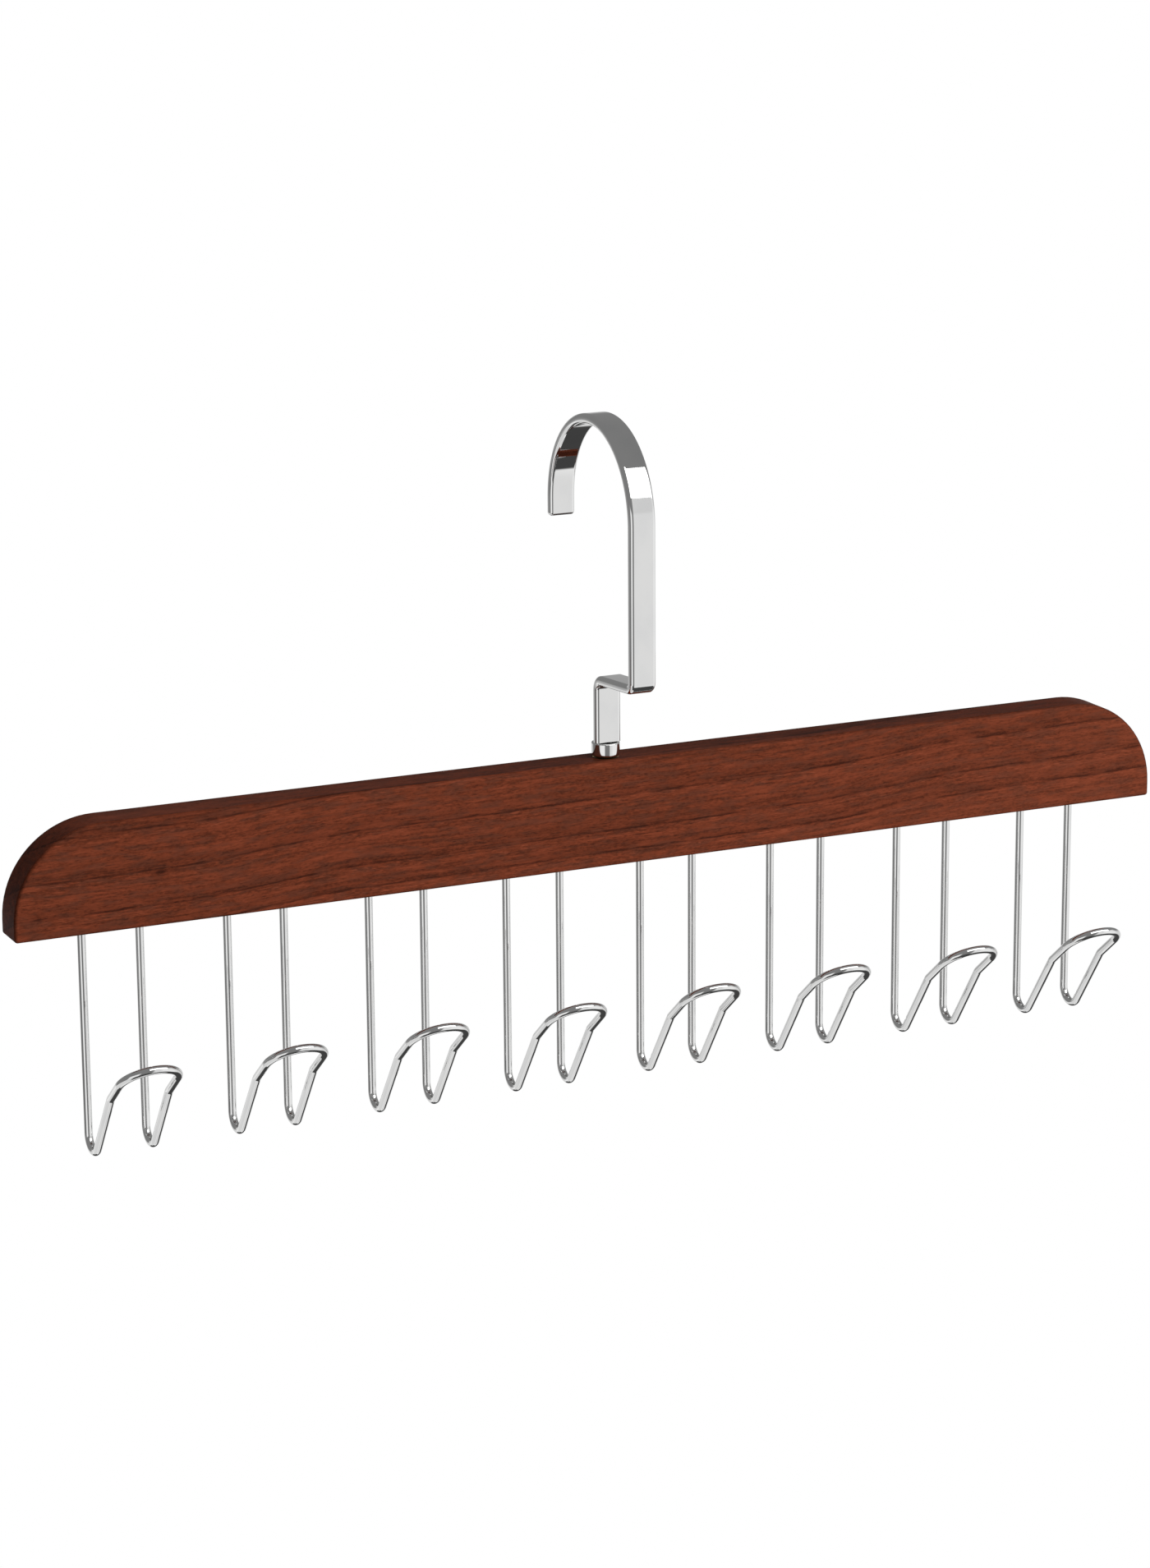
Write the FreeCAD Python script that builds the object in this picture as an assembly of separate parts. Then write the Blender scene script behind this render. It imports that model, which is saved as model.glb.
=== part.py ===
# Tie hanger: a wooden bar with a row of wire hooks under it and a flat steel hook that swivels on top.
# Millimetres. +Z is up, +X runs along the bar, and the wire hooks lean out to the front, towards -Y.
# The origin is the centre of the rod seat, the round inside of the hanging hook.

import FreeCAD, Part
import math
import os

Vector = FreeCAD.Vector

# Wooden bar
bar_length = 381.0
bar_height = 33.0
bar_thickness = 12.7
bar_end_height = 4.7
bar_edge_round = 1.0

# Hanging hook, a flat strip bent over the rod
strip_width = 8.5
strip_thickness = 3.0
strip_edge_flat = 0.6
rod_seat_radius = 27.0
rod_seat_above_bar = 75.0
rod_seat_behind_swivel = 2.8
tip_drop = 5.7
foot_before_swivel = 1.0
jog_above_bar = 24.4
jog_slope_degrees = 4.3
foot_bend_inside_radius = 1.9
stem_bend_inside_radius = 1.0
tenon_side_shoulder = 1.5
tenon_face_shoulder = 0.4
tenon_depth = 3.0

# Swivel in the middle of the bar
collar_margin = 0.1
collar_height = 4.3
collar_edge_round = 0.3
collar_foot_round = 0.9
collar_cup_wall = 0.6
collar_cup_depth = 1.2
shank_diameter = 5.0
sleeve_wall = 1.45
sleeve_length = 14.0
sleeve_rib_count = 4
sleeve_rib_depth = 0.4
washer_rim_gap = 0.5
washer_thickness = 1.0
rivet_overhang = 0.9
rivet_head_height = 1.5
rivet_head_round = 0.9
rivet_pocket_depth = 3.0
drill_point_degrees = 118.0

# Wire hooks
hook_count = 8
hook_row_margin = 33.0
hook_row_offset = -2.2
wire_diameter = 2.5
leg_spacing = 17.8
leg_depth = 15.0
hook_drop = 66.6
throat_bend_radius = 4.5
rise_length = 23.7
rise_lean_degrees = 35.1
lip_length = 10.3
lip_lean_degrees = 51.1
lip_bend_radius = 3.0

# Clearances
turning_gap = 0.3
running_clearance = 0.05
washer_clearance = 0.1
press_clearance = 0.02
glue_clearance = 0.05
braze_clearance = 0.05

# Radii, levels and places that follow from the sizes
collar_radius = strip_width / 2 + collar_margin
shank_radius = shank_diameter / 2
bore_radius = shank_radius + running_clearance
sleeve_radius = bore_radius + sleeve_wall
tenon_width = strip_width - 2 * tenon_side_shoulder
tenon_thickness = strip_thickness - 2 * tenon_face_shoulder
bar_top = -rod_seat_above_bar
bar_underside = bar_top - bar_height
hook_pitch = (bar_length - 2 * hook_row_margin) / (hook_count - 1)
swivel_axis = Vector(0, -rod_seat_behind_swivel, 0)
foot_axis = swivel_axis - Vector(0, foot_before_swivel, 0)
collar_underside = bar_top + turning_gap
collar_top = collar_underside + collar_height
cup_radius = collar_radius - collar_cup_wall
cup_floor = collar_top - collar_cup_depth
sleeve_underside = bar_top - sleeve_length
washer_top = sleeve_underside - washer_clearance
washer_underside = washer_top - washer_thickness
rivet_underside = washer_underside - rivet_head_height
pocket_floor = rivet_underside - rivet_pocket_depth
UP = Vector(0, 0, 1)
SAME_PLACE = 1e-6


def line(start, end):
    return Part.LineSegment(start, end).toShape()


def arc(start, middle, end):
    return Part.Arc(start, middle, end).toShape()


def bent(corners, radii):
    """The edges of a path through the corners, with a round bend at each inner corner."""
    edges = []
    start = corners[0]
    for before, corner, after, radius in zip(corners, corners[1:], corners[2:], radii):
        way_in = (corner - before).normalize()
        way_out = (after - corner).normalize()
        half_turn = way_in.getAngle(way_out) / 2
        reach = radius * math.tan(half_turn)
        inwards = (way_out - way_in).normalize()
        bend_start = corner - way_in * reach
        bend_middle = corner + inwards * (radius / math.cos(half_turn) - radius)
        bend_end = corner + way_out * reach
        edges.append(line(start, bend_start))
        edges.append(arc(bend_start, bend_middle, bend_end))
        start = bend_end
    edges.append(line(start, corners[-1]))
    return edges


def turned(profile):
    """A solid turned about the swivel axis, from its profile as (radius, height) pairs."""
    points = [swivel_axis + Vector(radius, 0, height) for radius, height in profile]
    sides = [line(a, b) for a, b in zip(points, points[1:] + points[:1])]
    return Part.Face(Part.Wire(sides)).revolve(swivel_axis, UP, 360)


def drilled(radius, mouth, depth):
    """The room of a hole that goes up from its mouth."""
    return Part.makeCylinder(radius, depth, mouth, UP)


def rim(shape, radius, height):
    """The round edges of a turned piece that have this radius and height."""
    rounds = [edge for edge in shape.Edges if isinstance(edge.Curve, Part.Circle)]
    wide = [edge for edge in rounds if abs(edge.Curve.Radius - radius) < SAME_PLACE]
    return [edge for edge in wide if abs(edge.Curve.Center.z - height) < SAME_PLACE]


def block_under_foot(width, thickness, low, high):
    """An upright block in line with the strip's foot, width along X and thickness along Y."""
    corner = foot_axis + Vector(-width / 2, -thickness / 2, low)
    return Part.makeBox(width, thickness, high - low, corner)


def heading(lean_degrees):
    """The way up and out to the front, this far from upright."""
    lean = math.radians(lean_degrees)
    return Vector(0, -math.sin(lean), math.cos(lean))


def hook_places():
    """The middle of each wire hook along the bar."""
    first = hook_row_offset - hook_pitch * (hook_count - 1) / 2
    return [first + hook_pitch * step for step in range(hook_count)]


def leg_places(hook_x):
    """Where a hook's two legs meet the underside of the bar, left and right."""
    return [swivel_axis + Vector(hook_x + side * leg_spacing / 2, 0, bar_underside) for side in (-1, 1)]


def make_bar_blank():
    """The bar before drilling: large round top corners and softened edges."""
    half = bar_length / 2
    corner_radius = bar_height - bar_end_height
    end_top = bar_underside + bar_end_height
    front = swivel_axis.y - bar_thickness / 2
    bow = corner_radius * (1 - math.sqrt(0.5))

    def at(x, z):
        return Vector(x, front, z)

    outline = Part.Wire([
        line(at(-half, bar_underside), at(half, bar_underside)),
        line(at(half, bar_underside), at(half, end_top)),
        arc(at(half, end_top), at(half - bow, bar_top - bow), at(half - corner_radius, bar_top)),
        line(at(half - corner_radius, bar_top), at(corner_radius - half, bar_top)),
        arc(at(corner_radius - half, bar_top), at(bow - half, bar_top - bow), at(-half, end_top)),
        line(at(-half, end_top), at(-half, bar_underside)),
    ])
    blank = Part.Face(outline).extrude(Vector(0, bar_thickness, 0))

    def is_sharp(edge):
        first, last = edge.Vertexes
        on_one_face = abs(first.Y - last.Y) < SAME_PLACE
        at_low_corner = max(first.Z, last.Z) < bar_underside + SAME_PLACE
        return on_one_face or at_low_corner

    return blank.makeFillet(bar_edge_round, [edge for edge in blank.Edges if is_sharp(edge)])


def make_bar():
    """The wooden bar, with a drilled pocket for the swivel and two holes for each wire hook."""
    pocket_radius = sleeve_radius + press_clearance
    point_depth = pocket_radius / math.tan(math.radians(drill_point_degrees / 2))
    pocket = turned([
        (0, bar_top),
        (pocket_radius, bar_top),
        (pocket_radius, pocket_floor),
        (0, pocket_floor - point_depth),
    ])
    hole_radius = wire_diameter / 2 + glue_clearance
    holes = [drilled(hole_radius, mouth, leg_depth) for x in hook_places() for mouth in leg_places(x)]
    return make_bar_blank().cut([pocket] + holes)


def make_hook_strip():
    """The hanging hook: foot, jog to the front, stem, arch over the rod and a short tip at the back."""
    arch_radius = rod_seat_radius + strip_thickness / 2
    jog_start = bar_top + jog_above_bar
    jog_end = jog_start + (arch_radius + foot_axis.y) * math.tan(math.radians(jog_slope_degrees))
    foot = foot_axis + UP * collar_top
    corners = [
        foot,
        foot_axis + UP * jog_start,
        Vector(0, -arch_radius, jog_end),
        Vector(0, -arch_radius, 0),
    ]
    tip = Vector(0, arch_radius, -tip_drop)
    inside_radii = [foot_bend_inside_radius, stem_bend_inside_radius]
    path = bent(corners, [radius + strip_thickness / 2 for radius in inside_radii])
    path.append(arc(corners[-1], UP * arch_radius, Vector(0, arch_radius, 0)))
    path.append(line(Vector(0, arch_radius, 0), tip))
    section = Part.makePlane(strip_width, strip_thickness, foot - Vector(strip_width, strip_thickness) / 2)
    strip = Part.Wire(path).makePipe(section).removeSplitter()

    def is_sharp(edge):
        first, last = edge.Vertexes
        on_one_side = abs(first.X - last.X) < SAME_PLACE
        at_tip = max(abs(first.Z - tip.z), abs(last.Z - tip.z)) < SAME_PLACE
        at_foot = max(first.Z, last.Z) < collar_top + SAME_PLACE
        return (on_one_side or at_tip) and not at_foot

    edge_round = (strip_thickness - strip_edge_flat) / 2
    strip = strip.makeFillet(edge_round, [edge for edge in strip.Edges if is_sharp(edge)])
    tenon = block_under_foot(tenon_width, tenon_thickness, collar_top - tenon_depth, collar_top)
    return strip.fuse(tenon)


def make_swivel_stud():
    """The turned collar, cupped on top and slotted for the strip's tenon, with its shank and riveted end."""
    rivet_radius = shank_radius + rivet_overhang
    stud = turned([
        (0, cup_floor),
        (cup_radius, cup_floor),
        (cup_radius, collar_top),
        (collar_radius, collar_top),
        (collar_radius, collar_underside),
        (shank_radius, collar_underside),
        (shank_radius, washer_underside),
        (rivet_radius, washer_underside),
        (rivet_radius, rivet_underside),
        (0, rivet_underside),
    ])
    stud = stud.makeFillet(collar_edge_round, rim(stud, collar_radius, collar_top))
    stud = stud.makeFillet(collar_foot_round, rim(stud, collar_radius, collar_underside))
    stud = stud.makeFillet(rivet_head_round, rim(stud, rivet_radius, rivet_underside))
    socket = block_under_foot(
        tenon_width + 2 * braze_clearance,
        tenon_thickness + 2 * braze_clearance,
        collar_top - tenon_depth - braze_clearance,
        collar_top,
    )
    return stud.cut(socket)


def make_swivel_sleeve():
    """The ribbed sleeve pressed into the bar. Its ribs are widest on top, so they hold against the pull."""
    root_radius = sleeve_radius - sleeve_rib_depth
    rib_height = sleeve_length / sleeve_rib_count
    profile = [(bore_radius, bar_top)]
    for rib in range(sleeve_rib_count):
        profile.append((sleeve_radius, bar_top - rib * rib_height))
        profile.append((root_radius, bar_top - (rib + 1) * rib_height))
    profile.append((bore_radius, sleeve_underside))
    return turned(profile)


def make_thrust_washer():
    """The washer between the riveted end and the sleeve."""
    rim_radius = sleeve_radius - washer_rim_gap
    return turned([
        (bore_radius, washer_top),
        (rim_radius, washer_top),
        (rim_radius, washer_underside),
        (bore_radius, washer_underside),
    ])


def hook_side(leg_mouth):
    """One side of a wire hook: down the leg, round the throat, up the rise and out along the lip."""
    rise = heading(rise_lean_degrees)
    half_turn = math.radians(180 - rise_lean_degrees) / 2
    reach = throat_bend_radius * math.tan(half_turn)
    throat_corner = leg_mouth - UP * (hook_drop - throat_bend_radius + reach)
    lip_corner = throat_corner + rise * (reach + rise_length)
    lip_end = lip_corner + heading(lip_lean_degrees) * lip_length
    corners = [leg_mouth + UP * leg_depth, throat_corner, lip_corner, lip_end]
    return bent(corners, [throat_bend_radius, lip_bend_radius]), lip_end


def make_wire_hook(hook_x):
    """One wire hook: a hairpin of round wire, its two sides joined by a half round at the lip."""
    left_mouth, right_mouth = leg_places(hook_x)
    left_side, left_end = hook_side(left_mouth)
    right_side, right_end = hook_side(right_mouth)
    crown = (left_end + right_end) / 2 + heading(lip_lean_degrees) * (leg_spacing / 2)
    path = Part.Wire(left_side + [arc(left_end, crown, right_end)] + right_side[::-1])
    section = Part.makeCircle(wire_diameter / 2, left_mouth + UP * leg_depth, UP)
    return path.makePipe(Part.Face(Part.Wire(section)))


pieces = {
    "bar": make_bar(),
    "hook_strip": make_hook_strip(),
    "swivel_stud": make_swivel_stud(),
    "swivel_sleeve": make_swivel_sleeve(),
    "thrust_washer": make_thrust_washer(),
}
for number, place in enumerate(hook_places(), start=1):
    pieces[f"wire_hook_{number}"] = make_wire_hook(place)

os.makedirs("parts", exist_ok=True)
for node, shape in pieces.items():
    shape.exportStep(f"parts/{node}.step")
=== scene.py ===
import math

import bmesh
import bpy
from mathutils import Color, Matrix, Vector


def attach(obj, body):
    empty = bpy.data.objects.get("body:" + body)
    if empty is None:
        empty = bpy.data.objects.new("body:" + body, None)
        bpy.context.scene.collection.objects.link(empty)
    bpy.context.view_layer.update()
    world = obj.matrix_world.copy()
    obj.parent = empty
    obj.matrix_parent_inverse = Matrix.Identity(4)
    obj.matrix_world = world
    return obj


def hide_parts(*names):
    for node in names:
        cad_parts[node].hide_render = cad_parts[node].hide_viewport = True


# A tie hanger: a lacquered wooden bar, a chromed strip hook that swivels on it, and a row of chromed wire
# hooks. Metres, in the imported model's frame: +Z is up, +X runs along the bar, and the wire hooks lean to the
# front, -Y.
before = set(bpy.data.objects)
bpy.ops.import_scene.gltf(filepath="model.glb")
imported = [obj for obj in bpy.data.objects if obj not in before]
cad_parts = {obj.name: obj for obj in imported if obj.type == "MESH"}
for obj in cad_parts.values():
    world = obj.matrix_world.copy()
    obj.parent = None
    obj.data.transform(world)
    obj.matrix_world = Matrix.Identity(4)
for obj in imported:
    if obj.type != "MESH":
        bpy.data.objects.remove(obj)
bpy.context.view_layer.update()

# Wooden bar: one flat stick of reddish brown hardwood, sawn along the grain and planed. Its top corners are
# cut to a large round, its edges rounded over, and it has a thin satin lacquer. The pocket for the swivel is
# drilled from above, and two holes for each wire hook from below.
MM = 0.001
bar_length = 381 * MM
bar_height = 33 * MM
bar_thickness = 12.7 * MM
bar_end_height = 4.7 * MM
bar_edge_round = 1.0 * MM
bar_top = -75 * MM
bar_underside = bar_top - bar_height
swivel = Vector((0, -2.8 * MM, 0))
pocket_radius = 4.02 * MM
pocket_depth = 19.6 * MM
drill_point = math.radians(118)
drill_overshoot = 1 * MM
hook_count = 8
hook_pitch = 45 * MM
row_offset = -2.2 * MM
row_start = row_offset - hook_pitch * (hook_count - 1) / 2
hook_places = [row_start + hook_pitch * number for number in range(hook_count)]
leg_spacing = 17.8 * MM
leg_depth = 15 * MM
leg_hole_radius = 1.3 * MM
crease_angle = math.radians(35)
touching = 0.01 * MM


def rounded_outline(shape, corners, rounds, segments):
    """A flat face with these corners, each one rounded to its radius."""
    points = [shape.verts.new(corner) for corner in corners]
    shape.faces.new(points)
    for point, radius in zip(points, rounds):
        if radius:
            bmesh.ops.bevel(
                shape,
                geom=[point],
                offset=radius,
                segments=segments,
                profile=0.5,
                affect="VERTICES",
                material=-1,
            )
    return shape.faces[:]


def turned(shape, profile, rounds, steps):
    """A shape turned about the swivel axis from (radius, height) pairs, with its outer corners rounded."""
    points = [shape.verts.new(swivel + Vector((radius, 0, height))) for radius, height in profile]
    for first, last in zip(points, points[1:]):
        shape.edges.new((first, last))
    for point, radius in zip(points, rounds):
        if radius:
            bmesh.ops.bevel(
                shape, geom=[point], offset=radius, segments=5, profile=0.5, affect="VERTICES", material=-1
            )
    outline = shape.verts[:] + shape.edges[:]
    bmesh.ops.spin(
        shape, geom=outline, cent=swivel, axis=(0, 0, 1), angle=math.tau, steps=steps, use_merge=True
    )
    bmesh.ops.remove_doubles(shape, verts=shape.verts, dist=touching)


def make_piece(shape, name):
    """The object of a modelled shape, with its faces turned outwards."""
    bmesh.ops.recalc_face_normals(shape, faces=shape.faces)
    mesh = bpy.data.meshes.new(name)
    shape.to_mesh(mesh)
    shape.free()
    piece = bpy.data.objects.new(name, mesh)
    bpy.context.scene.collection.objects.link(piece)
    return piece


def cut_out(piece, tool_shape):
    """Takes the room of a tool out of a piece, and leaves no tool behind."""
    tool = make_piece(tool_shape, "tool")
    cut = piece.modifiers.new("cut", "BOOLEAN")
    cut.operation = "DIFFERENCE"
    cut.solver = "EXACT"
    cut.object = tool
    blank = piece.data
    piece.data = bpy.data.meshes.new_from_object(piece.evaluated_get(bpy.context.evaluated_depsgraph_get()))
    piece.modifiers.clear()
    bpy.data.meshes.remove(blank)
    bpy.data.meshes.remove(tool.data)


def smooth(piece):
    """Round faces shade smoothly, flat ones stay flat, and sharp edges stay sharp."""
    piece.data.shade_smooth()
    piece.data.set_sharp_from_angle(angle=crease_angle)
    piece.modifiers.new("even_faces", "WEIGHTED_NORMAL").keep_sharp = True


class Shade:
    """A value or colour that changes over a surface. Sums on values add Math nodes to the same finish."""

    def __init__(self, finish, socket):
        self.finish = finish
        self.socket = socket

    def also(self, result):
        """Another result of the node that gives this one."""
        return Shade(self.finish, self.socket.node.outputs[result])

    def math(self, operation, *terms):
        """A sum on values that has no sign of its own."""
        return self.finish.node("ShaderNodeMath", {"operation": operation}, dict(enumerate(terms)))

    def __add__(self, other):
        return self.math("ADD", self, other)

    def __radd__(self, other):
        return self.math("ADD", other, self)

    def __sub__(self, other):
        return self.math("SUBTRACT", self, other)

    def __rsub__(self, other):
        return self.math("SUBTRACT", other, self)

    def __mul__(self, other):
        return self.math("MULTIPLY", self, other)

    def __rmul__(self, other):
        return self.math("MULTIPLY", other, self)


class Finish:
    """The nodes of one finish, or of the studio round the object."""

    def __init__(self, owner):
        owner.use_nodes = True
        self.tree = owner.node_tree
        self.tree.nodes.clear()

    def node(self, kind, settings, sockets, result=0):
        """Adds a node, sets it up, fills or links its sockets, and gives one of its results."""
        made = self.tree.nodes.new(kind)
        for name, value in settings.items():
            setattr(made, name, value)
        for key, value in sockets.items():
            if isinstance(value, Shade):
                self.tree.links.new(value.socket, made.inputs[key])
            else:
                made.inputs[key].default_value = value
        return Shade(self, made.outputs[result]) if made.outputs else None

    def blend(self, share, first, last):
        """A colour between two colours."""
        return self.node("ShaderNodeMix", {"data_type": "RGBA"}, {0: share, 6: first, 7: last}, 2)

    def rise(self, value, low, high):
        """From 0 where the value is low to 1 where it is high, with soft ends."""
        limits = {"Value": value, "From Min": low, "From Max": high}
        return self.node("ShaderNodeMapRange", {"interpolation_type": "SMOOTHSTEP"}, limits)

    def band(self, value, low, full, fade, high):
        """1 where the value is between full and fade, and 0 below low and above high."""
        return self.rise(value, low, full) - self.rise(value, fade, high)

    def vector(self, operation, first, second):
        """A sum on two vectors."""
        return self.node("ShaderNodeVectorMath", {"operation": operation}, {0: first, 1: second})

    def length(self, vector):
        """How long a vector is."""
        return self.node("ShaderNodeVectorMath", {"operation": "LENGTH"}, {0: vector}, "Value")

    def grains(self, place, stretch, detail, roughness=0.5):
        """Cloudy noise whose grains are as long as stretch says along X, Y and Z."""
        scale = tuple(1 / length for length in stretch)
        shrunk = self.vector("MULTIPLY", place, scale)
        sockets = {"Vector": shrunk, "Scale": 1.0, "Detail": detail, "Roughness": roughness}
        return self.node("ShaderNodeTexNoise", {"noise_dimensions": "3D"}, sockets)

    def surface(self, sockets):
        """Ends the finish with its surface."""
        skin = self.node("ShaderNodeBsdfPrincipled", {}, sockets)
        self.node("ShaderNodeOutputMaterial", {"target": "ALL"}, {"Surface": skin})


def paint(red, green, blue):
    """A colour as it looks on a screen, from 0 to 255, as light."""
    on_screen = Color((red / 255, green / 255, blue / 255))
    return (*on_screen.from_srgb_to_scene_linear(), 1.0)


half_length = bar_length / 2
bar_front = swivel.y - bar_thickness / 2
bar_shape = bmesh.new()
corner_round = bar_height - bar_end_height
rounded_outline(
    bar_shape,
    [
        (-half_length, bar_front, bar_underside),
        (half_length, bar_front, bar_underside),
        (half_length, bar_front, bar_top),
        (-half_length, bar_front, bar_top),
    ],
    [bar_edge_round, bar_edge_round, corner_round, corner_round],
    segments=20,
)
grown = bmesh.ops.extrude_face_region(bar_shape, geom=bar_shape.faces[:])["geom"]
back_points = [part for part in grown if isinstance(part, bmesh.types.BMVert)]
bmesh.ops.translate(bar_shape, verts=back_points, vec=(0, bar_thickness, 0))
rims = [edge for edge in bar_shape.edges if abs(edge.verts[0].co.y - edge.verts[1].co.y) < touching]
bmesh.ops.bevel(
    bar_shape, geom=rims, offset=bar_edge_round, segments=6, profile=0.5, affect="EDGES", material=-1
)
bar = make_piece(bar_shape, "lacquered_bar")

drill_shape = bmesh.new()
pocket_floor = bar_top - pocket_depth
pocket_tip = pocket_floor - pocket_radius / math.tan(drill_point / 2)
turned(
    drill_shape,
    [
        (0, bar_top + drill_overshoot),
        (pocket_radius, bar_top + drill_overshoot),
        (pocket_radius, pocket_floor),
        (0, pocket_tip),
    ],
    [0, 0, 0, 0],
    steps=64,
)
leg_hole_height = bar_underside + (leg_depth - drill_overshoot) / 2
for hook_x in hook_places:
    for side in (-1, 1):
        leg_hole = swivel + Vector((hook_x + side * leg_spacing / 2, 0, leg_hole_height))
        bmesh.ops.create_cone(
            drill_shape,
            cap_ends=True,
            segments=32,
            radius1=leg_hole_radius,
            radius2=leg_hole_radius,
            depth=leg_depth + drill_overshoot,
            matrix=Matrix.Translation(leg_hole),
        )
cut_out(bar, drill_shape)
smooth(bar)

# The grain climbs to the right, and its rings curve round a heart above the bar and behind it. Places and
# sizes in the wood are in millimetres, and a grain's size is its length along X, Y and Z.
grain_slope = 0.015
grain_step = 2.5
left_step = (-140, -85)
right_step = (65, 125)
grain_sway = 1.5
wood_heart = (0, 60, 40)
ring_heights = (-75.9, -88.6, -99.1, -105.9)
ring_tear = 1.3
ring_line_fade = (0.05, 0.5)
late_wood_band = (-4.5, 0, 0, 0.5)
early_wood_band = (0.2, 0.7, 0.8, 3.5)
knot_place = (-145.8, -9.2, -89.6)
knot_size = (2.0, 6.0, 0.8)
sway_size = (55, 30, 25)
cloud_size = (70, 25, 8)
fibre_size = (38, 0.5, 0.5)
streak_size = (15, 2.5, 1.1)
break_size = (14, 3, 1.5)
blotch_size = (7, 2.5, 1.6)
tear_size = (6, 1.5, 1.2)
fleck_size = (3.5, 0.4, 0.35)
pore_size = (2.2, 0.25, 0.25)
mottle_size = (1.3, 0.5, 0.5)
fleck_limits = (0.54, 0.7)
pore_limits = (0.58, 0.74)
break_limits = (0.34, 0.62)
# The top's glow and shade and the edges' shade are painted light and shade, not colours of the wood.
pale_side_glow = 0.2
painted_top_light = 0.3
patch_glow = 0.2
streak_glow = 0.15
fleck_glow = 0.2
early_fleck_glow = 0.4
umber_tint = 0.6
late_wood_shade = 0.32
fibre_shade = 0.4
painted_edge_shade = 0.1
end_grain_shade = 0.4
painted_top_shade = 0.35
ring_line_shade = 0.66
knot_shade = 0.8
pore_shade = 0.42
wood_flame = paint(150, 77, 53)
wood_light = paint(129, 62, 40)
wood_mid = paint(106, 51, 32)
wood_umber = paint(94, 56, 43)
wood_dark = paint(66, 32, 22)
wood_line = paint(46, 22, 16)

lacquered_wood = bpy.data.materials.new("lacquered_wood")
wood = Finish(lacquered_wood)
where = wood.node("ShaderNodeTexCoord", {}, {}, "Object")
place = wood.node("ShaderNodeMapping", {}, {"Vector": where, "Scale": (1 / MM,) * 3})
along_bar = wood.node("ShaderNodeSeparateXYZ", {}, {"Vector": place}, "X")
grain_steps = wood.rise(along_bar, *left_step) + wood.rise(along_bar, *right_step)
sway = wood.grains(place, sway_size, 2.0) - 0.5
lift = grain_slope * along_bar + grain_step * grain_steps + grain_sway * sway
lifted = wood.node("ShaderNodeCombineXYZ", {}, {"Z": lift})
along_grain = wood.vector("SUBTRACT", place, lifted)
from_heart = wood.vector("SUBTRACT", along_grain, wood_heart)
ring_radius = wood.length(wood.vector("MULTIPLY", from_heart, (0, 1, 1)))

clouds = wood.grains(along_grain, cloud_size, 2.0)
fibres = wood.grains(along_grain, fibre_size, 3.0, 0.6)
streaks = wood.grains(along_grain, streak_size, 3.0, 0.55)
blotches = wood.grains(along_grain, blotch_size, 3.0)
mottle = wood.grains(along_grain, mottle_size, 2.0, 0.6)
flecks = wood.rise(wood.grains(along_grain, fleck_size, 1.0), *fleck_limits)
pores = wood.rise(wood.grains(along_grain, pore_size, 1.0), *pore_limits)
broken = wood.rise(wood.grains(along_grain, break_size, 4.0, 0.6), *break_limits)
torn = wood.grains(along_grain, tear_size, 4.0, 0.65) - 0.5
torn_radius = ring_radius + ring_tear * torn
ring_lines = late_wood = early_wood = 0
for height in ring_heights:
    past_ring = torn_radius - math.hypot(bar_front / MM - wood_heart[1], height - wood_heart[2])
    ring_lines = ring_lines + 1 - wood.rise(past_ring.math("ABSOLUTE", past_ring), *ring_line_fade)
    late_wood = late_wood + wood.band(past_ring, *late_wood_band)
    early_wood = early_wood + wood.band(past_ring, *early_wood_band)
in_knot = wood.vector("DIVIDE", wood.vector("SUBTRACT", along_grain, knot_place), knot_size)
knot = 1 - wood.rise(wood.length(in_knot), 0.3, 1.3)

outward = wood.node("ShaderNodeTexCoord", {}, {}, "Normal")
to_end = wood.node("ShaderNodeSeparateXYZ", {}, {"Vector": outward}, "X")
to_front = to_end.also("Y")
end_grain = wood.rise(to_end.math("ABSOLUTE", to_end), 0.1, 0.9)
# Painted shade: the rounded-over edges, facing partly to the front or back, are darkened.
edges = wood.band(to_front.math("ABSOLUTE", to_front), 0.05, 0.4, 0.85, 0.99)
pale_side = wood.rise(0.25 * along_bar - along_bar.also("Z"), 95, 140)
# Painted light and shade on the top face: lighter towards its front left, darker towards its back right.
top_face = wood.rise(to_end.also("Z"), 0.6, 0.95)
top_shade_slope = wood.rise(along_bar.also("Y") + 0.04 * along_bar, -12, 4)
lit_top_front = top_face * (1 - top_shade_slope)
shaded_top_back = top_face * top_shade_slope

tone = wood.rise(clouds * 0.2 + fibres * 0.2 + mottle * 0.3 + streaks * 0.3, 0.39, 0.61)
ground = wood.blend(tone, wood_mid, wood_light)
tinted = wood.blend(umber_tint * wood.rise(blotches, 0.42, 0.66), ground, wood_umber)
# The lighter lower right of the bar, and painted light on the front left of the top.
lit_top_and_pale_side = pale_side_glow * pale_side + painted_top_light * lit_top_front
red_patches = patch_glow * (1 - wood.rise(blotches, 0.32, 0.52))
red_streaks = streak_glow * wood.rise(streaks, 0.53, 0.68)
red_flecks = flecks * (fleck_glow + early_fleck_glow * early_wood)
reddened = wood.blend(lit_top_and_pale_side + red_patches + red_streaks + red_flecks, tinted, wood_flame)
dark_bands = late_wood_shade * late_wood * (0.3 + 0.7 * broken)
dark_fibres = fibre_shade * (1 - wood.rise(fibres * 0.35 + mottle * 0.35 + streaks * 0.3, 0.39, 0.5))
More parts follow.
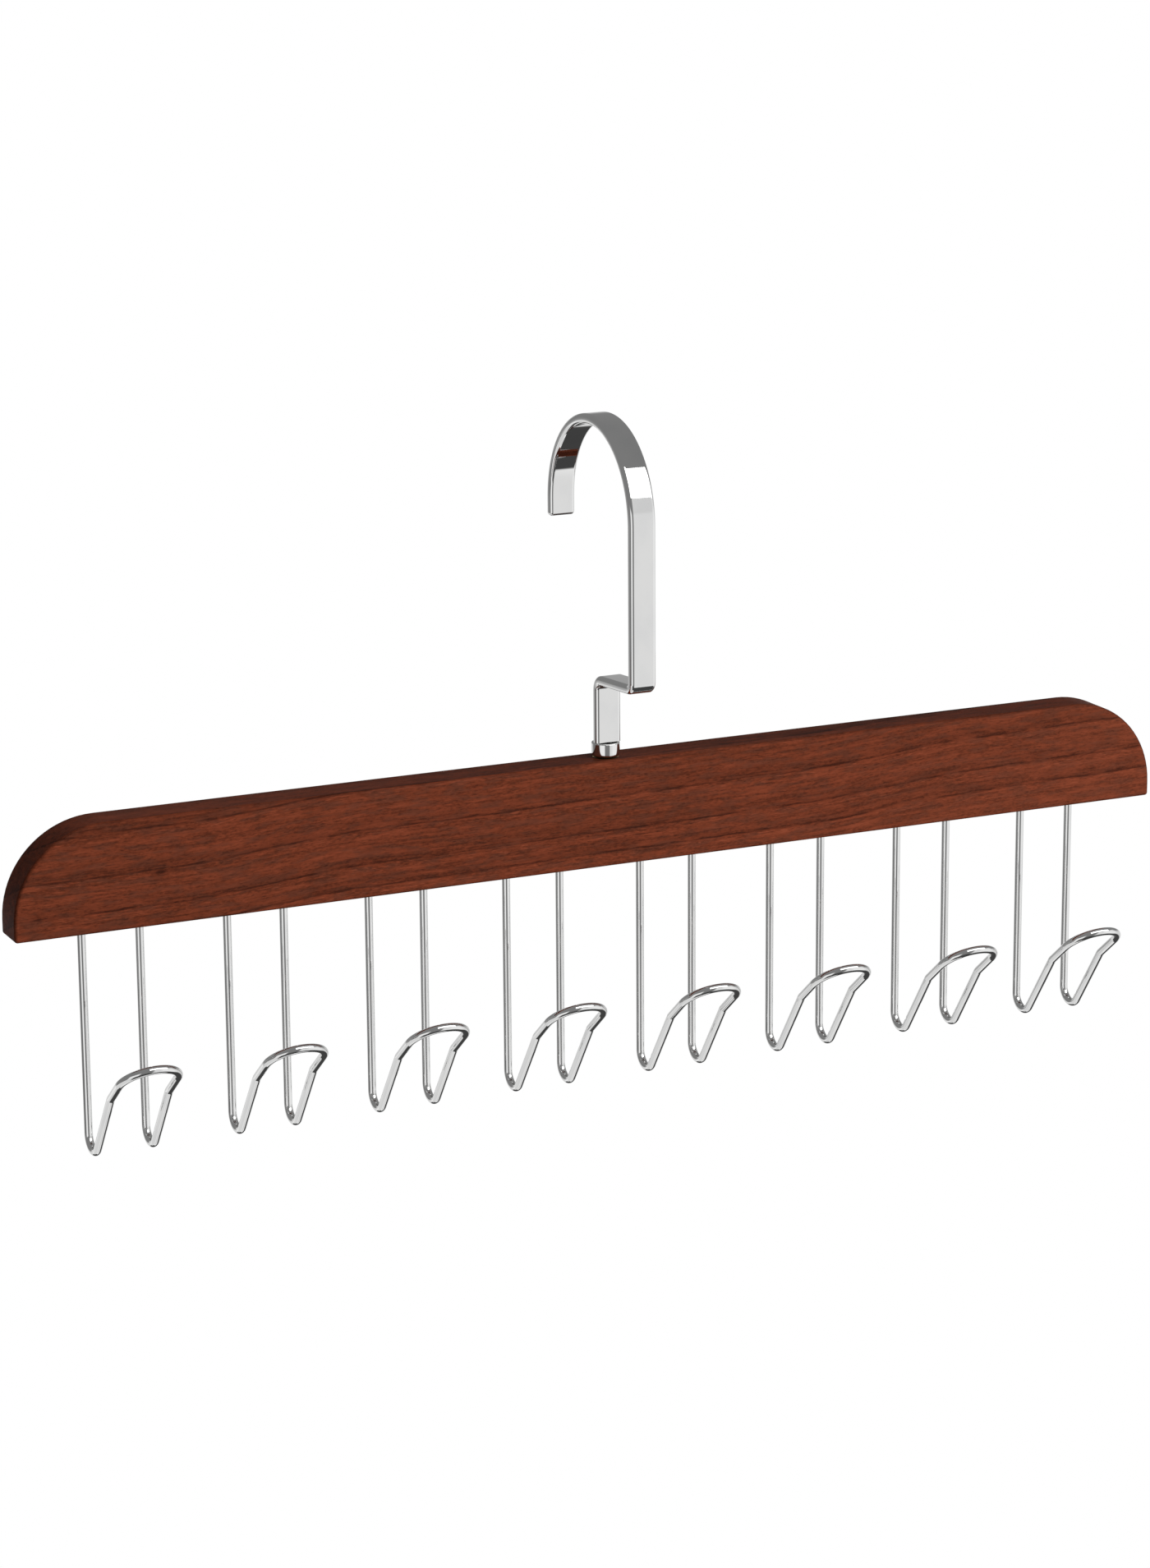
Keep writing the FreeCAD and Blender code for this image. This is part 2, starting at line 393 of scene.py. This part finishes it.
# Painted shade on the edges and at the back of the top, and the darker end grain.
painted_shade_and_end_grain = painted_edge_shade * edges + end_grain_shade * end_grain + painted_top_shade * shaded_top_back
shaded = wood.blend(dark_bands + dark_fibres + painted_shade_and_end_grain, reddened, wood_dark)
lined = wood.blend(ring_line_shade * ring_lines * broken + knot_shade * knot, shaded, wood_line)
wood_bump = wood.node(
    "ShaderNodeBump", {}, {"Strength": 0.35, "Distance": 0.04 * MM, "Height": fibres * 0.4 - pores}
)
wood.surface({
    "Base Color": wood.blend(pore_shade * pores, lined, wood_line),
    "Roughness": 0.4 + 0.12 * fibres + 0.12 * pores,
    "Normal": wood_bump,
    "Specular IOR Level": 0.02,
})
bar.data.materials.append(lacquered_wood)
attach(bar, "hanger_bar")
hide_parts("bar")

# Swivel sleeve: a ribbed brass bush, turned from rod and pressed into the pocket in the bar.
# It is the bearing for the stud's shank, and only a thin ring of it shows under the collar.
brass_bright = paint(214, 178, 104)
brass_dull = paint(176, 138, 74)
tarnish_size = Vector((3, 3, 3)) * MM
tool_mark_size = Vector((40, 40, 0.12)) * MM
turned_brass = bpy.data.materials.new("turned_brass")
brass = Finish(turned_brass)
where = brass.node("ShaderNodeTexCoord", {}, {}, "Object")
tarnish = brass.grains(where, tarnish_size, 3.0)
tool_marks = brass.grains(where, tool_mark_size, 1.0)
brass_bump = brass.node("ShaderNodeBump", {}, {"Strength": 0.25, "Distance": 0.01 * MM, "Height": tool_marks})
brass.surface({
    "Base Color": brass.blend(brass.rise(tarnish, 0.35, 0.7), brass_bright, brass_dull),
    "Metallic": 1.0,
    "Roughness": 0.24 + 0.2 * tarnish,
    "Normal": brass_bump,
})
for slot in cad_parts["swivel_sleeve"].material_slots:
    slot.material = turned_brass

# Swivel stud: the small round collar under the strip, turned in one with its shank and chromed. The strip's
# tenon is brazed into a slot in its cupped top, and the inside of the cup is painted black and dull as shade.
# Below, the shank is riveted over under the washer.
turning_gap = 0.3 * MM
collar_radius = 4.35 * MM
collar_height = 4.3 * MM
collar_underside = bar_top + turning_gap
collar_top = collar_underside + collar_height
collar_edge_round = 0.3 * MM
collar_foot_round = 0.9 * MM
cup_radius = 3.75 * MM
cup_depth = 1.2 * MM
cup_floor = collar_top - cup_depth
cup_edge = 0.1 * MM
cup_shade = 0.2 * MM
shank_radius = 2.5 * MM
washer_depth = 15.1 * MM
washer_underside = bar_top - washer_depth
rivet_radius = 3.4 * MM
rivet_height = 1.5 * MM
rivet_underside = washer_underside - rivet_height
rivet_round = 0.9 * MM
foot_before_swivel = 1.0 * MM
foot_axis = swivel - Vector((0, foot_before_swivel, 0))
socket_size = Vector((5.6, 2.3, 3.05)) * MM

stud_shape = bmesh.new()
turned(
    stud_shape,
    [
        (0, cup_floor),
        (cup_radius, cup_floor),
        (cup_radius, collar_top),
        (collar_radius, collar_top),
        (collar_radius, collar_underside),
        (shank_radius, collar_underside),
        (shank_radius, washer_underside),
        (rivet_radius, washer_underside),
        (rivet_radius, rivet_underside),
        (0, rivet_underside),
    ],
    [0, 0, 0, collar_edge_round, collar_foot_round, 0, 0, 0, rivet_round, 0],
    steps=96,
)
stud = make_piece(stud_shape, "chromed_collar")
slot_shape = bmesh.new()
slot_height = 2 * socket_size.z
slot_scale = Matrix.Diagonal((socket_size.x, socket_size.y, slot_height, 1))
bmesh.ops.create_cube(
    slot_shape, size=1, matrix=Matrix.Translation(foot_axis + Vector((0, 0, collar_top))) @ slot_scale
)
cut_out(stud, slot_shape)
smooth(stud)

chrome_bright = (0.79, 0.79, 0.785, 1.0)
chrome_dull = (0.75, 0.752, 0.752, 1.0)
# Painted shade: this black goes inside the collar's cup, where shade falls in the recess.
cup_shade_black = paint(14, 13, 12)
smear_size = Vector((9, 9, 14)) * MM
ripple_size = Vector((5, 5, 8)) * MM
chrome_plate = bpy.data.materials.new("chrome_plate")
chrome = Finish(chrome_plate)
where = chrome.node("ShaderNodeTexCoord", {}, {}, "Object")
smears = chrome.grains(where, smear_size, 3.0)
ripple = chrome.grains(where, ripple_size, 1.0)
chrome_bump = chrome.node("ShaderNodeBump", {}, {"Strength": 0.06, "Distance": 0.01 * MM, "Height": ripple})
from_axis = chrome.vector("SUBTRACT", where, swivel)
off_axis = chrome.length(chrome.vector("MULTIPLY", from_axis, (1, 1, 0)))
height = chrome.node("ShaderNodeSeparateXYZ", {}, {"Vector": where}, "Z")
# Painted shade: inside the cup's rim and below its top, the plate turns black, dull and not metallic.
inside_rim = 1 - chrome.rise(off_axis, cup_radius, cup_radius + cup_edge)
shaded_cup = inside_rim * (1 - chrome.rise(height, collar_top - cup_shade, collar_top))
plated = chrome.blend(chrome.rise(smears, 0.4, 0.75), chrome_bright, chrome_dull)
chrome.surface({
    "Base Color": chrome.blend(shaded_cup, plated, cup_shade_black),
    "Metallic": 1 - shaded_cup,
    "Roughness": 0.02 + 0.04 * chrome.rise(smears, 0.35, 0.75) + 0.6 * shaded_cup,
    "Normal": chrome_bump,
})
stud.data.materials.append(chrome_plate)
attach(stud, "hanging_hook")
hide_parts("swivel_stud")

# Thrust washer: a small steel washer on the shank, between the riveted end and the sleeve.
# It carries the bar's weight, and sits deep in the pocket.
steel_bright = paint(196, 197, 200)
steel_dull = paint(150, 151, 155)
rolling_size = Vector((4, 0.15, 0.15)) * MM
stain_size = Vector((2, 2, 2)) * MM
rolled_steel = bpy.data.materials.new("rolled_steel")
steel = Finish(rolled_steel)
where = steel.node("ShaderNodeTexCoord", {}, {}, "Object")
rolling = steel.grains(where, rolling_size, 2.0)
stain = steel.grains(where, stain_size, 2.0)
steel_bump = steel.node("ShaderNodeBump", {}, {"Strength": 0.2, "Distance": 0.01 * MM, "Height": rolling})
steel.surface({
    "Base Color": steel.blend(stain, steel_bright, steel_dull),
    "Metallic": 1.0,
    "Roughness": 0.28 + 0.2 * rolling,
    "Normal": steel_bump,
})
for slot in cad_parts["thrust_washer"].material_slots:
    slot.material = rolled_steel

# Hanging hook: flat steel strip with rounded edges, bent cold in one plane and chromed all over.
# From its foot on the collar it jogs to the front, rises as the stem and arches over the rod to a short tip.
strip_width = 8.5 * MM
strip_thickness = 3.0 * MM
strip_edge_round = 1.2 * MM
tip_round = 1.1 * MM
foot_chamfer = 0.3 * MM
arch_radius = 28.5 * MM
tip_drop = 5.7 * MM
jog_above_bar = 24.4 * MM
jog_height = bar_top + jog_above_bar
jog_slope = math.radians(4.3)
foot_bend_radius = 3.4 * MM
stem_bend_radius = 2.5 * MM
tenon_size = Vector((5.5, 2.2, 3.0)) * MM


def loose_ends(geometry):
    """The corner points and edges at the end of a run or a bend."""
    points = [part for part in geometry if isinstance(part, bmesh.types.BMVert)]
    edges = [part for part in geometry if isinstance(part, bmesh.types.BMEdge)]
    return points, [edge for edge in edges if edge.verts[0] in points and edge.verts[1] in points]


def run(shape, ring_edges, way):
    """Draws the ring out in a straight line."""
    points, edges = loose_ends(bmesh.ops.extrude_edge_only(shape, edges=ring_edges)["geom"])
    bmesh.ops.translate(shape, verts=points, vec=way)
    return edges


def bend(shape, ring_edges, centre, axis, angle, steps):
    """Draws the ring round a bend."""
    made = bmesh.ops.spin(
        shape, geom=ring_edges, cent=centre, axis=axis, angle=angle, steps=steps, use_merge=False
    )
    return loose_ends(made["geom_last"])[1]


def lean(angle):
    """The way up, leaning to the front by this angle."""
    return Vector((0, -math.sin(angle), math.cos(angle)))


def to_the_side(angle):
    """Square to the lean, on its front side."""
    return Vector((0, -math.cos(angle), -math.sin(angle)))


strip_shape = bmesh.new()
half_width = strip_width / 2
half_thickness = strip_thickness / 2
foot = foot_axis + Vector((0, 0, collar_top + foot_chamfer))
foot_face = rounded_outline(
    strip_shape,
    [foot + Vector((x, y, 0)) for x, y in (
        (-half_width, -half_thickness),
        (half_width, -half_thickness),
        (half_width, half_thickness),
        (-half_width, half_thickness),
    )],
    [strip_edge_round] * 4,
    segments=8,
)
ring_edges = strip_shape.edges[:]
jog_turn = math.pi / 2 - jog_slope
foot_reach = foot_bend_radius * math.tan(jog_turn / 2)
stem_reach = stem_bend_radius * math.tan(jog_turn / 2)
jog_depth = arch_radius + foot_axis.y
jog_run = jog_depth / math.cos(jog_slope) - foot_reach - stem_reach
foot_end = jog_height - foot_reach
stem_start = jog_height + jog_depth * math.tan(jog_slope) + stem_reach
foot_bend_centre = Vector((0, foot_axis.y - foot_bend_radius, foot_end))
stem_bend_centre = Vector((0, stem_bend_radius - arch_radius, stem_start))
ring_edges = run(strip_shape, ring_edges, (0, 0, foot_end - foot.z))
ring_edges = bend(strip_shape, ring_edges, foot_bend_centre, (1, 0, 0), jog_turn, steps=12)
ring_edges = run(strip_shape, ring_edges, lean(jog_turn) * jog_run)
ring_edges = bend(strip_shape, ring_edges, stem_bend_centre, (-1, 0, 0), jog_turn, steps=12)
ring_edges = run(strip_shape, ring_edges, (0, 0, -stem_start))
ring_edges = bend(strip_shape, ring_edges, (0, 0, 0), (-1, 0, 0), math.pi, steps=72)
ring_edges = run(strip_shape, ring_edges, (0, 0, tip_round - tip_drop))
tip_face = bmesh.ops.contextual_create(strip_shape, geom=ring_edges)["faces"]
tip_steps = 6
quarter = [math.pi / 2 * step / tip_steps for step in range(tip_steps + 1)]
bmesh.ops.recalc_face_normals(strip_shape, faces=strip_shape.faces)
for before, after in zip(quarter, quarter[1:]):
    bmesh.ops.inset_region(
        strip_shape,
        faces=tip_face,
        thickness=tip_round * (math.cos(before) - math.cos(after)),
        depth=tip_round * (math.sin(after) - math.sin(before)),
        use_even_offset=True,
    )
foot_width, foot_thickness = strip_width, strip_thickness
for width, thickness, drop in (
    (strip_width - 2 * foot_chamfer, strip_thickness - 2 * foot_chamfer, foot_chamfer),
    (tenon_size.x, tenon_size.y, 0),
    (tenon_size.x, tenon_size.y, tenon_size.z),
):
    foot_face = bmesh.ops.extrude_discrete_faces(strip_shape, faces=foot_face)["faces"]
    shares = (width / foot_width, thickness / foot_thickness, 1)
    foot_points = foot_face[0].verts
    bmesh.ops.scale(strip_shape, vec=shares, verts=foot_points, space=Matrix.Translation(-foot))
    bmesh.ops.translate(strip_shape, verts=foot_points, vec=(0, 0, -drop))
    foot_width, foot_thickness = width, thickness
strip = make_piece(strip_shape, "chromed_strip")
smooth(strip)
strip.data.materials.append(chrome_plate)
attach(strip, "hanging_hook")
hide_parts("hook_strip")

# Wire hooks: eight hairpins of round steel wire, bent on a jig and chromed, each glued into its two holes.
# Two straight legs go down to a tight bend, rise to the front and end in a lip that leans out further.
wire_radius = 1.25 * MM
hook_drop = 66.6 * MM
throat_radius = 4.5 * MM
rise_length = 23.7 * MM
rise_lean = math.radians(35.1)
lip_length = 10.3 * MM
lip_lean = math.radians(51.1)
lip_bend_radius = 3.0 * MM

hook_shape = bmesh.new()
leg_top = swivel + Vector((-leg_spacing / 2, 0, bar_underside + leg_depth))
throat_start = bar_underside - hook_drop + throat_radius
bmesh.ops.create_circle(
    hook_shape, cap_ends=True, segments=24, radius=wire_radius, matrix=Matrix.Translation(leg_top)
)
wire_ring = hook_shape.edges[:]
wire_ring = run(hook_shape, wire_ring, (0, 0, throat_start - leg_top.z))
throat_centre = Vector((leg_top.x, leg_top.y - throat_radius, throat_start))
wire_ring = bend(hook_shape, wire_ring, throat_centre, (-1, 0, 0), math.pi - rise_lean, steps=28)
lip_reach = lip_bend_radius * math.tan((lip_lean - rise_lean) / 2)
rise_start = throat_centre + to_the_side(rise_lean) * throat_radius
rise_run = lean(rise_lean) * (rise_length - lip_reach)
wire_ring = run(hook_shape, wire_ring, rise_run)
lip_bend_start = rise_start + rise_run
lip_centre = lip_bend_start + to_the_side(rise_lean) * lip_bend_radius
wire_ring = bend(hook_shape, wire_ring, lip_centre, (1, 0, 0), lip_lean - rise_lean, steps=6)
lip_run = lean(lip_lean) * (lip_length - lip_reach)
wire_ring = run(hook_shape, wire_ring, lip_run)
lip_end = lip_centre - to_the_side(lip_lean) * lip_bend_radius + lip_run
crown_centre = Vector((0, lip_end.y, lip_end.z))
wire_ring = bend(hook_shape, wire_ring, crown_centre, -to_the_side(lip_lean), math.pi / 2, steps=20)
everything = hook_shape.verts[:] + hook_shape.edges[:] + hook_shape.faces[:]
bmesh.ops.mirror(hook_shape, geom=everything, axis="X", merge_dist=touching)
for number, hook_x in enumerate(hook_places, start=1):
    placed = hook_shape.copy()
    bmesh.ops.translate(placed, verts=placed.verts, vec=(hook_x, 0, 0))
    wire_hook = make_piece(placed, f"chromed_wire_{number}")
    smooth(wire_hook)
    wire_hook.data.materials.append(chrome_plate)
    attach(wire_hook, "hanger_bar")
    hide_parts(f"wire_hook_{number}")
hook_shape.free()

# Floor: a plain pale disc, as far below the hanger as a wardrobe's floor is below its rod. It takes the soft
# shadow, and towards its rim it fades into the white round it.
floor_level = -1.7
floor_radius = 0.55
floor_grey = 0.8
shadow_share = 0.4
shadow_fade = (0.05, 0.5)
floor_shape = bmesh.new()
bmesh.ops.create_circle(
    floor_shape,
    cap_ends=True,
    segments=96,
    radius=floor_radius,
    matrix=Matrix.Translation((0, 0, floor_level)),
)
floor = make_piece(floor_shape, "floor")
pale_floor = bpy.data.materials.new("pale_floor")
floor_finish = Finish(pale_floor)
where = floor_finish.node("ShaderNodeTexCoord", {}, {}, "Object")
reach = floor_finish.length(floor_finish.vector("MULTIPLY", where, (1, 1, 0)))
camera_ray = floor_finish.node("ShaderNodeLightPath", {}, {}, "Is Camera Ray")
mirror_rays = camera_ray.also("Is Glossy Ray") + camera_ray.also("Is Transmission Ray")
matt = floor_finish.node("ShaderNodeBsdfDiffuse", {}, {"Color": (floor_grey, floor_grey, floor_grey, 1)})
white = floor_finish.node("ShaderNodeEmission", {}, {"Color": (1, 1, 1, 1), "Strength": 1.0})
whiteness = 1 - shadow_share + shadow_share * floor_finish.rise(reach, *shadow_fade)
fade = whiteness * (camera_ray + mirror_rays)
mixed = floor_finish.node("ShaderNodeMixShader", {}, {0: fade, 1: matt, 2: white})
floor_finish.node("ShaderNodeOutputMaterial", {"target": "ALL"}, {"Surface": mixed})
floor.data.materials.append(pale_floor)

# Studio: a dim room with pale backdrops, a wide one to the front right, a narrow one to the front left and a
# low one behind, and a pale table low on the left. The metal shows them and, between them, the room. The
# camera sees white all round.
room_grey = 0.235
diffuse_cut = 0.75

# Turns are degrees from the front to the right, and heights go from -1, straight down, to 1, straight up.
# Two values are where a soft edge starts and ends, and four are both edges of a backdrop.
dark_below = 0.25
dark_below_edge = (-0.75, -0.1)
right_turns = (4, 14, 70, 95)
right_heights = (-0.72, -0.68, 0.37, 0.39)
right_inner_cut = 0.16
right_inner_edge = (27, 38)
right_top_cut = 0.15
right_top_edge = (0.07, 0.13)
left_turns = (-76, -68, -35, -27)
left_heights = (-0.52, -0.45, 0.05, 0.15)
back_brightness = 0.75
back_left_edge = (-125, -100)
back_right_edge = (70, 95)
back_foot = -0.22
back_foot_drop = 0.38
table_brightness = 0.8
table_edge = (-0.12, 0.02)
table_slant = 0.4
table_top_edge = (-0.42, -0.35)
table_front_edge = (-55, -40)

room = bpy.data.worlds.new("studio")
bpy.context.scene.world = room
studio = Finish(room)
towards = studio.node("ShaderNodeTexCoord", {}, {}, "Generated")
to_right = studio.node("ShaderNodeSeparateXYZ", {}, {"Vector": towards}, "X")
to_back = to_right.also("Y")
upward = to_right.also("Z")
turn = to_right.math("ARCTAN2", to_right, 0 - to_back) * (180 / math.pi)
right_inner = 1 - right_inner_cut * (1 - studio.rise(turn, *right_inner_edge))
right_top = 1 - right_top_cut * studio.rise(upward, *right_top_edge)
right_width = studio.band(turn, *right_turns)
right_backdrop = right_width * studio.band(upward, *right_heights) * right_inner * right_top
left_backdrop = studio.band(turn, *left_turns) * studio.band(upward, *left_heights)
back_width = studio.rise(turn, *back_right_edge) + 1 - studio.rise(turn, *back_left_edge)
back_low = back_foot - back_foot_drop * studio.rise(to_right, -0.6, -0.42)
back_side = studio.rise(to_right, -0.42, 0)
back_top = studio.rise(upward, -0.36 + 0.16 * back_side, -0.12 + 0.35 * back_side)
back_height = studio.rise(upward - back_low, -0.04, 0.04) - back_top
table_side = 1 - studio.rise(to_right + table_slant * to_back, *table_edge)
table_depth = 1 - studio.rise(upward, *table_top_edge)
table_width = 1 - studio.rise(turn, *table_front_edge)
mirrored_back = back_brightness * back_width * back_height
mirrored_table = table_brightness * table_side * table_depth * table_width
camera_ray = studio.node("ShaderNodeLightPath", {}, {}, "Is Camera Ray")
mirror_rays = camera_ray.also("Is Glossy Ray") + camera_ray.also("Is Transmission Ray")
diffuse_ray = camera_ray.also("Is Diffuse Ray")
backdrops = right_backdrop + left_backdrop + mirror_rays * (mirrored_back + mirrored_table)
seen_white = camera_ray.math("MAXIMUM", camera_ray, backdrops)
room_height = dark_below + (1 - dark_below) * studio.rise(upward, *dark_below_edge)
room_level = room_height * (1 - diffuse_cut * diffuse_ray)
dim_room = studio.blend(room_level, (0, 0, 0, 1), (room_grey, room_grey, room_grey, 1))
room_light = studio.blend(seen_white, dim_room, (1, 1, 1, 1))
background = studio.node("ShaderNodeBackground", {}, {"Color": room_light, "Strength": 1.0})
studio.node("ShaderNodeOutputWorld", {"target": "ALL"}, {"Surface": background})


def softbox(name, place, facing, width, height, brightness):
    """A rectangular lamp at a place, turned to face a point, as bright as a surface of that radiance."""
    lamp = bpy.data.lights.new(name, "AREA")
    lamp.shape = "RECTANGLE"
    lamp.size = width
    lamp.size_y = height
    lamp.energy = math.pi * width * height * brightness
    stand = bpy.data.objects.new(name, lamp)
    stand.location = place
    stand.rotation_mode = "QUATERNION"
    stand.rotation_quaternion = (Vector(facing) - Vector(place)).to_track_quat("-Z", "Y")
    stand.visible_camera = False
    bpy.context.scene.collection.objects.link(stand)
    return stand


softbox(
    "key_softbox",
    place=(0.8, -1.018, 0.916),
    facing=(0.8, -0.235, 0.294),
    width=2.2,
    height=0.873,
    brightness=2.4,
)
front_fill = softbox(
    "front_fill", place=(0.85, -2.35, -0.1), facing=(0, 0, -0.1), width=1.2, height=0.8, brightness=5.0
)
front_fill.visible_glossy = False
back_fill = softbox(
    "back_fill", place=(0, 2.0, -0.1), facing=(0, 0, -0.1), width=1.6, height=0.8, brightness=5.0
)
back_fill.visible_glossy = False

# Camera: a long lens a little to the left of the hanger and above it, as the photo was taken.
# Its focal length is in pixels of the photo, whose longer side is its height.
camera_turn = math.radians(-24.743)
camera_rise = math.radians(14.553)
camera_roll = math.radians(-0.403)
camera_distance = 1.3076
camera_target = Vector((-10.327, -2.8, -82.58)) * MM
focal_length_px = 5239.6
long_side_px = 1909
back = Vector((
    math.sin(camera_turn) * math.cos(camera_rise),
    -math.cos(camera_turn) * math.cos(camera_rise),
    math.sin(camera_rise),
))
right = Vector((math.cos(camera_turn), math.sin(camera_turn), 0))
up = back.cross(right)
lens = bpy.data.cameras.new("camera")
lens.sensor_width = 36
lens.lens = lens.sensor_width * focal_length_px / long_side_px
camera = bpy.data.objects.new("camera", lens)
level = Matrix((right, up, back)).transposed().to_4x4()
camera.matrix_world = (
    Matrix.Translation(camera_target + back * camera_distance)
    @ level
    @ Matrix.Rotation(camera_roll, 4, "Z")
)
bpy.context.scene.collection.objects.link(camera)
bpy.context.scene.camera = camera
bpy.context.scene.view_settings.view_transform = "Standard"
